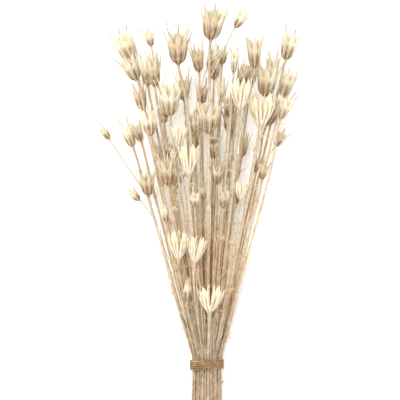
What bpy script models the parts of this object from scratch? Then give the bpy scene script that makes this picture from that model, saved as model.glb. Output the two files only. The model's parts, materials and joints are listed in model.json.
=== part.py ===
"""A lying bunch of dried nigella seed pods on their cut stems, held by a twine tie.

Metres, +Z up. The stems run along +Y from their cut ends to the pods, and the fan of pods spreads
along X. The origin is on the flat spot under the tie, on the surface that the bunch lies on.
Each stem, with its pod and its side twigs, is one object. The tie is another.
"""

import math
from collections import namedtuple

import bmesh
import bpy
import numpy as np
from mathutils import Vector

MM = 0.001

# The bunch
CUT_END_Y = -78 * MM
CUT_END_SPREAD = 1.12
RING_STEP = 40 * MM
TOP_Y = 440 * MM
FAN_DEPTH_AT_TIE = 12 * MM
FAN_DEPTH_GROWTH = 0.115
RISE_LIMITS = (-0.1, 0.3)

# The stems
STEM_SIDES = 4
STEM_R = 1.2 * MM
NECK_R = 0.7 * MM
NECK_SHARE = 0.03
NECK_LENGTH = 1.5 * MM
TWIG_R = 0.75 * MM

# The tie
TIE_HALF_LENGTH = 6 * MM
BUNDLE_HALF_WIDTH = 19 * MM
BUNDLE_HALF_DEPTH = 10.4 * MM
SLOT_PITCH = 3.1 * MM
SLOT_ROWS = 5
SLOT_COLUMNS = 8
TWINE_R = 1.2 * MM
TWINE_TURNS = 5
TWINE_SPACING = 2.1 * MM
TWINE_ARC = (140, 90, 40)
TIE_STEPS = 32
KNOT_HALF_SIZE = (3.6 * MM, 3.0 * MM, 1.9 * MM)
KNOT_TAIL = ((0.5, -1, 2.9), (3.5, -5, 3.1), (5.5, -9, 1.9), (6.8, -14, 1.6))
TAIL_TAPER = 0.8
TIE_FLATTENED = 0.9 * MM
TIE_HEIGHT = BUNDLE_HALF_DEPTH + 2 * TWINE_R - TIE_FLATTENED

# How the stems are laid beside each other
GAP = 0.6 * MM
FLOOR_GAP = 0.5 * MM
LEVEL_STEP = 8 * MM
LAYOUT_STEPS = 260
SETTLE_STEPS = 60
BEND = 0.25
PULL = (0.12, 0.01)
POD_YIELDS = 0.5
FORK_ROOM = 20 * MM
RING_MARGIN = 15 * MM
HARDLY_ANY = 1e-9
# Radius that a pod keeps clear round its axis, as a share of half its width: along its body, and
# at the tips of its beaks.
CLEAR_BODY = ((0.0, 0.25), (0.3, 0.92), (0.8, 1.0), (1.0, 1.0))
CLEAR_TIPS = 1.2

# The pods
CUP_SHARE = 0.72
BEAK_VARIES = 0.15
BEAK_RHYTHM = 2.4
POD_TURN = 0.37
SHARP_DEGREES = 40

# The materials
STRAW = (0.72, 0.58, 0.40)
STRAW_ROUGHNESS = 0.75
TWINE = (0.60, 0.46, 0.29)
TWINE_ROUGHNESS = 0.9

# A pod: x and y of its base in mm, lean from +Y towards +X in degrees, width across the tips of
# its follicles, length of its body and of its beaks in mm, number of follicles, form, and layer
# in the fan, from -1 on the surface below to 1 in front.
Pod = namedtuple("Pod", "x y lean width body beak count form layer")
PODS = [
    Pod(4, 373, 8, 30, 31, 16, 8, "closed", 0.9),
    Pod(-34, 345, -1, 29, 32, 21, 8, "closed", 0.9),
    Pod(-9, 337, -6, 17, 23, 16, 6, "closed", 0.3),
    Pod(-64, 367, -12, 15, 15, 8, 6, "closed", 0.0),
    Pod(-85, 351, -27, 29, 31, 13, 8, "closed", -1.0),
    Pod(-80, 328, -25, 24, 24, 10, 7, "closed", 0.3),
    Pod(-59, 320, -4, 19, 31, 12, 6, "closed", 0.6),
    Pod(-41, 287, 0, 29, 30, 12, 8, "closed", 0.8),
    Pod(2, 266, 2, 28, 31, 17, 8, "closed", 1.1),
    Pod(-18, 263, -3, 19, 24, 10, 7, "closed", 0.8),
    Pod(39, 291, 4, 24, 28, 9, 7, "open", 0.9),
    Pod(55, 341, 0, 20, 29, 7, 7, "closed", 0.5),
    Pod(91, 353, 14, 23, 27, 12, 7, "closed", -1.0),
    Pod(17, 346, 4, 14, 16, 6, 5, "closed", 0.0),
    Pod(57, 271, 3, 29, 31, 6, 8, "open", 1.0),
    Pod(66, 309, 6, 28, 31, 15, 8, "closed", 0.5),
    Pod(87, 309, 18, 20, 25, 11, 6, "closed", -0.4),
    Pod(69, 277, 28, 21, 31, 19, 7, "closed", -0.5),
    Pod(64, 214, 8, 15, 15, 7, 6, "closed", 0.3),
    Pod(26, 268, 0, 20, 23, 9, 6, "closed", 0.3),
    Pod(-85, 251, -20, 17, 26, 12, 6, "closed", 0.1),
    Pod(-76, 258, -20, 15, 18, 8, 5, "closed", -0.8),
    Pod(-62, 264, -6, 21, 25, 9, 7, "closed", 0.5),
    Pod(-67, 195, -6, 21, 23, 9, 7, "closed", 0.9),
    Pod(-43, 207, -2, 23, 26, 9, 7, "closed", 1.0),
    Pod(11.5, 208, 0, 17, 20, 8, 6, "closed", 0.85),
    Pod(-20, 216, -2, 21, 28, 8, 7, "open", 1.0),
    Pod(-50, 278, 3, 15, 24, 8, 5, "closed", -0.4),
    Pod(-15, 182, -2, 14, 14, 7, 5, "closed", 1.0),
    Pod(19, 181, 4, 16, 18, 8, 6, "closed", 1.05),
    Pod(-47, 163, -4, 8, 20, 5, 5, "bud", 1.0),
    Pod(-33, 119, 2, 22, 27, 6, 8, "open", 1.2),
    Pod(-14, 116, 8, 19, 24, 6, 7, "open", 1.2),
    Pod(0, 59, 3, 28, 24, 6, 8, "open", 1.5),
    Pod(-23, 72, 2, 12, 24, 5, 5, "bud", 1.2),
    Pod(-32, 250, 2, 17, 20, 5, 6, "open", 0.9),
    Pod(17, 302, 2, 14, 22, 9, 5, "closed", 0.2),
    Pod(36, 321, 16, 14, 19, 8, 5, "closed", 0.2),
    Pod(30, 335, 3, 11, 22, 9, 5, "closed", 0.6),
    Pod(-68, 322, -6, 17, 27, 10, 6, "closed", -0.6),
    Pod(74, 322, 5, 17, 29, 12, 6, "closed", -0.3),
    Pod(38, 188, 4, 15, 18, 6, 6, "open", 0.8),
    Pod(-26, 305, -3, 19, 24, 12, 6, "closed", -0.7),
    Pod(-6, 300, 1, 16, 20, 10, 6, "closed", -0.1),
    Pod(44, 300, 6, 18, 22, 9, 6, "closed", -0.8),
    Pod(8, 238, 0, 17, 22, 9, 6, "closed", -0.6),
    Pod(40, 240, 6, 16, 20, 8, 6, "closed", -0.4),
    Pod(-50, 232, -8, 17, 21, 9, 6, "closed", -0.88),
    Pod(-14, 250, -2, 18, 22, 9, 6, "closed", -0.95),
    Pod(22, 214, 4, 15, 18, 8, 5, "closed", -0.7),
    Pod(8, 330, 3, 17, 21, 10, 6, "closed", -1.0),
    Pod(50, 318, 5, 18, 24, 11, 6, "closed", 0.0),
    Pod(84, 283, 20, 17, 22, 12, 6, "closed", 0.4),
    Pod(-74, 294, -12, 18, 23, 10, 6, "closed", -0.3),
    Pod(24, 286, 3, 16, 20, 8, 5, "closed", 0.5),
]
# Side twigs: the stem that carries one, the y in mm where it leaves the stem, and its pod.
TWIGS = [
    (0, 330, Pod(31, 388, 33, 15, 18, 8, 5, "closed", 0.4)),
    (2, 312, Pod(1, 342, 28, 13, 20, 11, 5, "closed", 0.5)),
    (20, 195, Pod(-112, 260, -35, 13, 15, 9, 5, "closed", 0.1)),
    (23, 168, Pod(-77, 190, -45, 13, 13, 8, 5, "closed", 0.5)),
    (17, 228, Pod(78, 252, 32, 16, 16, 9, 6, "closed", -0.2)),
    (36, 236, Pod(8, 254, -20, 6, 11, 2, 5, "bud", 0.2)),
    (9, 196, Pod(-30, 236, -14, 12, 15, 8, 5, "closed", 0.1)),
    (25, 142, Pod(-3, 190, -14, 11, 14, 7, 5, "closed", 0.5)),
    (46, 176, Pod(54, 222, 20, 12, 15, 8, 5, "closed", 0.0)),
    (42, 236, Pod(-12, 284, 20, 13, 16, 9, 5, "closed", -0.3)),
    (44, 222, Pod(29, 262, -14, 12, 15, 8, 5, "closed", -0.5)),
    (47, 164, Pod(-36, 204, 16, 12, 14, 8, 5, "closed", -0.5)),
    (22, 200, Pod(-48, 240, 18, 11, 14, 7, 5, "closed", 0.2)),
    (49, 146, Pod(32, 186, 18, 11, 13, 7, 5, "closed", -0.4)),
    (6, 256, Pod(-50, 298, 16, 11, 14, 8, 5, "closed", 0.2)),
]
# The two low pods that the bunch lies on, with the tie.
RESTING = (4, 12)

# Forms of pod. rings: how far up the body, with the radius of the keels and of the grooves as
# shares of the width. rim: how far up the free tips widen to, with the radius of their keels,
# sides and inner faces. tip: radius at the points of the beaks. floor: how deep the cup goes.
# half_angle: half the width of a free tip as a share of its sector.
Form = namedtuple("Form", "rings rim tip floor half_angle")
FORMS = {
    "closed": Form(
        rings=((0.0, 0.10, 0.09), (0.13, 0.235, 0.17), (0.40, 0.345, 0.25), (0.74, 0.435, 0.33)),
        rim=(0.96, 0.485, 0.46, 0.40),
        tip=0.61,
        floor=0.45,
        half_angle=0.36,
    ),
    "open": Form(
        rings=((0.0, 0.09, 0.08), (0.20, 0.25, 0.19), (0.50, 0.38, 0.29)),
        rim=(0.84, 0.475, 0.45, 0.38),
        tip=0.62,
        floor=0.36,
        half_angle=0.5,
    ),
    "bud": Form(
        rings=((0.0, 0.14, 0.12), (0.22, 0.46, 0.38), (0.60, 0.42, 0.34)),
        rim=(0.92, 0.24, 0.20, 0.10),
        tip=0.10,
        floor=0.62,
        half_angle=0.5,
    ),
}


def clear_scene():
    for obj in list(bpy.data.objects):
        bpy.data.objects.remove(obj, do_unlink=True)


def material(name, color, roughness):
    made = bpy.data.materials.new(name)
    made.use_nodes = True
    shader = made.node_tree.nodes["Principled BSDF"]
    shader.inputs["Base Color"].default_value = (*color, 1.0)
    shader.inputs["Roughness"].default_value = roughness
    shader.inputs["Metallic"].default_value = 0.0
    return made


def tie_slots(count):
    """Places of the stems in the tie: the points of a hexagonal grid nearest to its middle."""
    grid = []
    for row in range(-SLOT_ROWS, SLOT_ROWS + 1):
        for column in range(-SLOT_COLUMNS, SLOT_COLUMNS + 1):
            across = (column + 0.5 * (row % 2)) * SLOT_PITCH
            up = row * SLOT_PITCH * math.sqrt(0.75)
            grid.append((across, up))
    grid.sort(key=lambda p: (p[0] / BUNDLE_HALF_WIDTH) ** 2 + (p[1] / BUNDLE_HALF_DEPTH) ** 2)
    return np.array(grid[:count])


def pod_height(pod):
    """Height of a pod's base above the surface, for its layer in the fan."""
    half = FAN_DEPTH_AT_TIE + FAN_DEPTH_GROWTH * pod.y * MM
    return half + pod.layer * (half - 0.5 * pod.width * MM)


def matched_slots(bases):
    """A slot for each stem, in the pods' order, such that straight stems would never cross."""
    slots = tie_slots(len(bases))
    aims = np.array([(x / y, (z - TIE_HEIGHT) / y) for x, y, z in bases])
    order = list(range(len(bases)))
    changed = True
    while changed:
        changed = False
        for i in range(len(order)):
            for j in range(i):
                apart = slots[order[i]] - slots[order[j]]
                if apart @ (aims[i] - aims[j]) < -HARDLY_ANY:
                    order[i], order[j] = order[j], order[i]
                    changed = True
    return slots[order]


def pod_reach(pod, height):
    """Radius that the layout keeps clear round a pod's axis, at a height above its base."""
    shares, clear = zip(*CLEAR_BODY)
    tips = 1.0 + pod.beak / pod.body
    return 0.5 * pod.width * MM * np.interp(height / (pod.body * MM), (*shares, tips), (*clear, CLEAR_TIPS))


class Strand:
    """A stem, or a twig on one: the points that the layout moves, and the pod on its end."""

    def __init__(self, pod, start, parent=None):
        self.pod = pod
        self.parent = parent
        self.base_y = pod.y * MM
        self.start_y = start[1]
        low, high = self.start_y + RING_MARGIN, self.base_y - RING_MARGIN
        inner = [y for y in np.arange(RING_STEP, TOP_Y, RING_STEP) if low < y < high]
        self.levels = np.array([self.start_y, *inner, self.base_y])
        self.goal = np.array([pod.x * MM, pod_height(pod)])
        begin = np.array([start[0], start[2]])
        along = ((self.levels - self.start_y) / (self.base_y - self.start_y))[:, None]
        self.points = begin + along * (self.goal - begin)
        rise = (self.goal[1] - TIE_HEIGHT) / self.base_y
        self.slope = np.array([math.tan(math.radians(pod.lean)), np.clip(rise, *RISE_LIMITS)])
        self.axis = Vector((self.slope[0], 1.0, self.slope[1])).normalized()
        self.start_r = STEM_R if parent is None else TWIG_R
        self.neck_r = TWIG_R if parent is not None else NECK_R + NECK_SHARE * pod.width * MM

    def at(self, y):
        return np.array([np.interp(y, self.levels, self.points[:, side]) for side in (0, 1)])

    def follows(self, fine):
        """How each fine level follows the points, its offset from them, its reach, and how
        readily it gives way."""
        follow = np.zeros((len(fine), len(self.levels)))
        offset = np.zeros((len(fine), 2))
        reach = np.zeros(len(fine))
        yields = np.ones(len(fine))
        top = self.base_y + (self.pod.body + self.pod.beak) * MM * self.axis.y
        units = np.eye(len(self.levels))
        for row, y in enumerate(fine):
            if self.start_y <= y <= self.base_y:
                for column, unit in enumerate(units):
                    follow[row, column] = np.interp(y, self.levels, unit)
                reach[row] = np.interp(y, (0.0, self.base_y), (self.start_r, self.neck_r))
            elif self.base_y < y <= top:
                follow[row, -1] = 1.0
                offset[row] = self.slope * (y - self.base_y)
                reach[row] = pod_reach(self.pod, (y - self.base_y) / self.axis.y) / self.axis.y
                yields[row] = POD_YIELDS
        return follow, offset, reach, yields


def straightened(levels, points):
    """Where each inner point would be on the line between its neighbours."""
    share = ((levels[1:-1] - levels[:-2]) / (levels[2:] - levels[:-2]))[:, None]
    return points[:-2] + share * (points[2:] - points[:-2])


def first_strands():
    """Straight stems from the tie to their pods, and the twigs on them."""
    bases = [(pod.x * MM, pod.y * MM, pod_height(pod)) for pod in PODS]
    slots = matched_slots(bases)
    strands = []
    for pod, slot in zip(PODS, slots):
        strands.append(Strand(pod, (slot[0], TIE_HALF_LENGTH, slot[1] + TIE_HEIGHT)))
    for parent, fork, pod in TWIGS:
        place = strands[parent].at(fork * MM)
        strands.append(Strand(pod, (place[0], fork * MM, place[1]), parent))
    return strands


def laid_out():
    """Strands for every stem and twig, moved until each is clear of all the others."""
    strands = first_strands()
    fine = np.arange(LEVEL_STEP, TOP_Y, LEVEL_STEP)
    follows = []
    offset = np.zeros((len(strands), len(fine), 2))
    reach = np.zeros((len(strands), len(fine)))
    yields = np.ones((len(strands), len(fine)))
    for row, strand in enumerate(strands):
        follow, offset[row], reach[row], yields[row] = strand.follows(fine)
        follows.append(follow)
    there = reach > 0
    meet = there[:, None] & there[None]
    for row, strand in enumerate(strands):
        meet[row, row] = False
        if strand.parent is not None:
            near = fine < strand.start_y + FORK_ROOM
            meet[row, strand.parent, near] = False
            meet[strand.parent, row, near] = False
    needed = (reach[:, None] + reach[None] + GAP) * meet
    share = yields[:, None] / (yields[:, None] + yields[None])
    for step in range(LAYOUT_STEPS):
        settling = step >= LAYOUT_STEPS - SETTLE_STEPS
        places = offset.copy()
        for row, strand in enumerate(strands):
            places[row] += follows[row] @ strand.points
        apart = places[:, None] - places[None]
        distance = np.sqrt((apart**2).sum(axis=-1)) + HARDLY_ANY
        over = np.clip(needed - distance, 0.0, None) * meet
        push = (apart * (share * over / distance)[..., None]).sum(axis=1)
        low = np.clip(reach + FLOOR_GAP - places[..., 1], 0.0, None) * there
        push[..., 1] += low
        pushed = ((over > 0).any(axis=1) | (low > 0)).astype(float)
        for row, strand in enumerate(strands):
            weight = follows[row].T
            norm = np.maximum(1.0, weight @ pushed[row])[:, None]
            moved = strand.points + (weight @ push[row]) / norm
            if not settling:
                moved[1:-1] += BEND * (straightened(strand.levels, moved) - moved[1:-1])
                moved[-1] += np.array(PULL) * (strand.goal - moved[-1])
            moved[0] = strand.points[0]
            if strand.parent is not None:
                moved[0] = strands[strand.parent].at(strand.start_y)
            strand.points = moved
    return strands


def centreline(strand):
    """The strand's points in space, with a stem's cut end behind the tie."""
    points = [Vector((x, y, z)) for y, (x, z) in zip(strand.levels, strand.points)]
    if strand.parent is not None:
        return points
    slot = points[0]
    cut_end = Vector((slot.x * CUT_END_SPREAD, CUT_END_Y, slot.z))
    return [cut_end, Vector((slot.x, -TIE_HALF_LENGTH, slot.z)), *points]


def across(axis):
    """Two unit vectors square to a direction that runs roughly along +Y."""
    side = axis.cross(Vector((0, 0, 1))).normalized()
    return side, side.cross(axis)


def stitch(bm, low, high):
    """Triangles between two rings, which may hold different numbers of points."""
    i = j = 0
    while i < len(low) or j < len(high):
        here = low[i % len(low)]
        there = high[j % len(high)]
        if j == len(high) or (i < len(low) and (i + 1) * len(high) <= (j + 1) * len(low)):
            bm.faces.new((here, low[(i + 1) % len(low)], there))
            i += 1
        else:
            bm.faces.new((here, high[(j + 1) % len(high)], there))
            j += 1


def stem_tube(bm, points, start_r, end_r, axis):
    """A tapering stem through the points. It returns the ring at its neck."""
    last = None
    for index, point in enumerate(points):
        before = points[max(0, index - 1)]
        after = points[min(len(points) - 1, index + 1)]
        along = (after - before).normalized()
        if index == len(points) - 1:
            along = (along + axis).normalized()
        radius = start_r + index / (len(points) - 1) * (end_r - start_r)
        side, up = across(along)
        ring = []
        for corner in range(STEM_SIDES):
            angle = 2 * math.pi * corner / STEM_SIDES
            ring.append(bm.verts.new(point + radius * (math.cos(angle) * side + math.sin(angle) * up)))
        if last is None:
            bm.faces.new(ring)
        else:
            stitch(bm, last, ring)
        last = ring
    return last


def rotated(loop, turn):
    """The same ring, started from the point nearest to an angle."""
    shift = round(turn / (2 * math.pi) * len(loop)) % len(loop)
    return loop[shift:] + loop[:shift]


def seed_pod(bm, pod, base, axis, neck):
    """Follicles joined side by side in a keeled cup, with free pointed tips round its mouth."""
    form = FORMS[pod.form]
    width = pod.width * MM
    body = pod.body * MM
    count = pod.count
    sector = 2 * math.pi / count
    turn = (POD_TURN * pod.x) % (2 * math.pi)
    side, up = across(axis)

    def point_at(angle, radius, height):
        outward = math.cos(angle) * side + math.sin(angle) * up
        return bm.verts.new(base + axis * height * body + outward * radius * width)

    last = None
    for height, keel, groove in form.rings:
        ring = []
        for index in range(count):
            ring.append(point_at(turn + index * sector, keel, height))
            ring.append(point_at(turn + (index + 0.5) * sector, groove, height))
        if last is None:
            stitch(bm, rotated(neck, turn), ring)
        else:
            for index in range(len(ring)):
                after = (index + 1) % len(ring)
                bm.faces.new((last[index], last[after], ring[after], ring[index]))
        last = ring
    top, _, groove = form.rings[-1]
    inner = [point_at(turn + index * sector, CUP_SHARE * groove, top) for index in range(count)]
    floor = point_at(0.0, 0.0, form.floor)
    height, keel, side_r, inner_r = form.rim
    spread = form.half_angle * 0.5 * sector
    for index in range(count):
        angle = turn + index * sector
        root = (last[2 * index], last[2 * index + 1], inner[index], last[2 * index - 1])
        rim = (
            point_at(angle, keel, height),
            point_at(angle + spread, side_r, height),
            point_at(angle, inner_r, height),
            point_at(angle - spread, side_r, height),
        )
        varied = 1.0 + BEAK_VARIES * math.cos(BEAK_RHYTHM * index + pod.y)
        point = point_at(angle, form.tip, height + varied * pod.beak / pod.body)
        for corner in range(4):
            after = (corner + 1) % 4
            bm.faces.new((root[corner], root[after], rim[after], rim[corner]))
            bm.faces.new((rim[corner], rim[after], point))
        following = inner[(index + 1) % count]
        bm.faces.new((last[2 * index + 1], following, inner[index]))
        bm.faces.new((inner[index], following, floor))


def finished(bm, name, look):
    bmesh.ops.recalc_face_normals(bm, faces=bm.faces)
    mesh = bpy.data.meshes.new(name)
    bm.to_mesh(mesh)
    bm.free()
    mesh.materials.append(look)
    mesh.shade_smooth()
    mesh.set_sharp_from_angle(angle=math.radians(SHARP_DEGREES))
    obj = bpy.data.objects.new(name, mesh)
    bpy.context.scene.collection.objects.link(obj)
    return obj


def unite(obj, other):
    """Joins the other object's solid to the first, and removes the other."""
    union = obj.modifiers.new("union", "BOOLEAN")
    union.operation = "UNION"
    union.solver = "EXACT"
    union.object = other
    graph = bpy.context.evaluated_depsgraph_get()
    joined = bpy.data.meshes.new_from_object(obj.evaluated_get(graph))
    obj.modifiers.clear()
    obj.data = joined
    bpy.data.objects.remove(other, do_unlink=True)


def podded(strand, name, look):
    """A stem or twig with the pod on its end, as one closed solid."""
    bm = bmesh.new()
    points = centreline(strand)
    neck = stem_tube(bm, points, strand.start_r, strand.neck_r, strand.axis)
    seed_pod(bm, strand.pod, points[-1] + strand.axis * NECK_LENGTH, strand.axis, neck)
    return finished(bm, name, look)


def set_down(strand, obj):
    """Lowers the end of a stem by what its pod's lowest point stands above the surface."""
    lowest = min(vertex.co.z for vertex in obj.data.vertices if vertex.co.y > strand.base_y)
    along = (strand.levels - strand.start_y) / (strand.base_y - strand.start_y)
    strand.points[:, 1] -= lowest * along**2
    bpy.data.objects.remove(obj, do_unlink=True)


def tie_profile():
    """Outline of the twine's turns: height above the stems, and place along them."""
    outline = []
    for turn in range(TWINE_TURNS):
        middle = (turn - 0.5 * (TWINE_TURNS - 1)) * TWINE_SPACING
        for degrees in TWINE_ARC:
            angle = math.radians(degrees)
            outline.append((TWINE_R * (1 + math.sin(angle)), middle + TWINE_R * math.cos(angle)))
    outline.append((0.0, outline[-1][1]))
    outline.append((0.0, outline[0][1]))
    return outline


def knot_tail(look, side):
    """A short end of the twine, from inside the knot out over the front stems."""
    bm = bmesh.new()
    top = TIE_HEIGHT + BUNDLE_HALF_DEPTH
    points = [Vector((side * x * MM, y * MM, top + z * MM)) for x, y, z in KNOT_TAIL]
    heading = (points[-1] - points[-2]).normalized()
    last = stem_tube(bm, points, TWINE_R, TAIL_TAPER * TWINE_R, heading)
    bm.faces.new(last)
    return finished(bm, "tail", look)


def knot(look):
    """The flattened lump of the knot, in front of the turns."""
    bm = bmesh.new()
    bmesh.ops.create_icosphere(bm, subdivisions=2, radius=1.0)
    bmesh.ops.scale(bm, vec=KNOT_HALF_SIZE, verts=bm.verts)
    top = TIE_HEIGHT + BUNDLE_HALF_DEPTH + 2 * TWINE_R
    bmesh.ops.translate(bm, vec=(0, 0, top), verts=bm.verts)
    return finished(bm, "knot", look)


def tie(look):
    """Turns of twine wound side by side round the stems, flattened beneath, and the knot."""
    bm = bmesh.new()
    outline = tie_profile()
    loops = []
    for step in range(TIE_STEPS):
        angle = 2 * math.pi * step / TIE_STEPS
        right = math.cos(angle)
        up = math.sin(angle)
        outward = Vector((BUNDLE_HALF_DEPTH * right, 0, BUNDLE_HALF_WIDTH * up)).normalized()
        inside = Vector((BUNDLE_HALF_WIDTH * right, 0, TIE_HEIGHT + BUNDLE_HALF_DEPTH * up))
        loop = []
        for height, along in outline:
            point = inside + outward * height + Vector((0, along, 0))
            point.z = max(point.z, 0.0)
            loop.append(bm.verts.new(point))
        loops.append(loop)
    for step, loop in enumerate(loops):
        following = loops[(step + 1) % TIE_STEPS]
        for index in range(len(outline)):
            after = (index + 1) % len(outline)
            bm.faces.new((loop[index], loop[after], following[after], following[index]))
    turns = finished(bm, "tie", look)
    unite(turns, knot(look))
    for side in (-1, 1):
        unite(turns, knot_tail(look, side))


def main():
    clear_scene()
    straw = material("dry_stem", STRAW, STRAW_ROUGHNESS)
    twine = material("twine", TWINE, TWINE_ROUGHNESS)
    strands = laid_out()
    for index in RESTING:
        set_down(strands[index], podded(strands[index], "trial", straw))
    stems = {}
    for index, strand in enumerate(strands):
        if strand.parent is None:
            stems[index] = podded(strand, f"stem_{index + 1:02d}", straw)
        else:
            unite(stems[strand.parent], podded(strand, "twig", straw))
    tie(twine)


main()
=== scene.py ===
"""A lying bunch of bleached, dried nigella pods on their cut stems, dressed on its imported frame."""

import json
import math
import random
from collections import namedtuple

import bmesh
import bpy
import numpy as np
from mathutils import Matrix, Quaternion, Vector, noise

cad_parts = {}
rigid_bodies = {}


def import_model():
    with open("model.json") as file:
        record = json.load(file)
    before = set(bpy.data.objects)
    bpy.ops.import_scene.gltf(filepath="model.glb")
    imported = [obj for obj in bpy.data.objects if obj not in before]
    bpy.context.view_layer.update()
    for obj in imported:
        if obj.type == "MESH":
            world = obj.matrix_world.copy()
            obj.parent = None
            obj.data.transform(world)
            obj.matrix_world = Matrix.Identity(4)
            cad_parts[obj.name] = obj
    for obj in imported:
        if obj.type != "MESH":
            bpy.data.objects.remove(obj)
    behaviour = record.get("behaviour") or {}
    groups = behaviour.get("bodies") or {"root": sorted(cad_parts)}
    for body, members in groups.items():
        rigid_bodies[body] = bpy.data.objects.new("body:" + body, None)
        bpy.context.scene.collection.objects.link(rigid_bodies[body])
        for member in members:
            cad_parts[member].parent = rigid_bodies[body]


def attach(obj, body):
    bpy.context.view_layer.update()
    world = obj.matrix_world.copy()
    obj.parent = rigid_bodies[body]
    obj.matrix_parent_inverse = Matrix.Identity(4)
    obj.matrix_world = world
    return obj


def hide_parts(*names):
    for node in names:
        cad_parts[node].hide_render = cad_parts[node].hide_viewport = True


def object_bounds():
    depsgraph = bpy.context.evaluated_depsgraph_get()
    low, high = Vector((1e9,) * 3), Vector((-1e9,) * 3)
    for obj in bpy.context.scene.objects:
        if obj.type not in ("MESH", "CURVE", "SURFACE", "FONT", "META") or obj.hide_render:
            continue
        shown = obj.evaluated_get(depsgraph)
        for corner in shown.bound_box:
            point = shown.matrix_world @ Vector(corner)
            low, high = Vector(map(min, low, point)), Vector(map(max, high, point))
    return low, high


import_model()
frame_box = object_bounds()

# How the stems lie
# Each cut stem grew one pod on its end, and a few carry side twigs. They are gathered into a tight
# round bundle, and fan out from it until each pod lies clear of its neighbours.
MM = 0.001
CUT_END_Y = -78 * MM
CUT_END_SPREAD = 1.12
RING_STEP = 40 * MM
TOP_Y = 440 * MM
FAN_DEPTH_AT_TIE = 12 * MM
FAN_DEPTH_GROWTH = 0.115
RISE_LIMITS = (-0.1, 0.3)
STEM_R = 1.2 * MM
NECK_R = 0.7 * MM
NECK_SHARE = 0.03
NECK_LENGTH = 1.5 * MM
TWIG_R = 0.75 * MM
TIE_HALF_LENGTH = 6 * MM
BUNDLE_HALF_WIDTH = 19 * MM
BUNDLE_HALF_DEPTH = 10.4 * MM
SLOT_PITCH = 3.1 * MM
SLOT_ROWS = 5
SLOT_COLUMNS = 8
TWINE_R = 1.2 * MM
TIE_FLATTENED = 0.9 * MM
TIE_HEIGHT = BUNDLE_HALF_DEPTH + 2 * TWINE_R - TIE_FLATTENED
GAP = 0.6 * MM
FLOOR_GAP = 0.5 * MM
LEVEL_STEP = 8 * MM
LAYOUT_STEPS = 260
SETTLE_STEPS = 60
BEND = 0.25
PULL = (0.12, 0.01)
POD_YIELDS = 0.5
FORK_ROOM = 20 * MM
RING_MARGIN = 15 * MM
HARDLY_ANY = 1e-9
# Radius that a pod keeps clear round its axis, as a share of half its width: along its body, and
# at the tips of its beaks.
CLEAR_BODY = ((0.0, 0.25), (0.3, 0.92), (0.8, 1.0), (1.0, 1.0))
CLEAR_TIPS = 1.2

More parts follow.
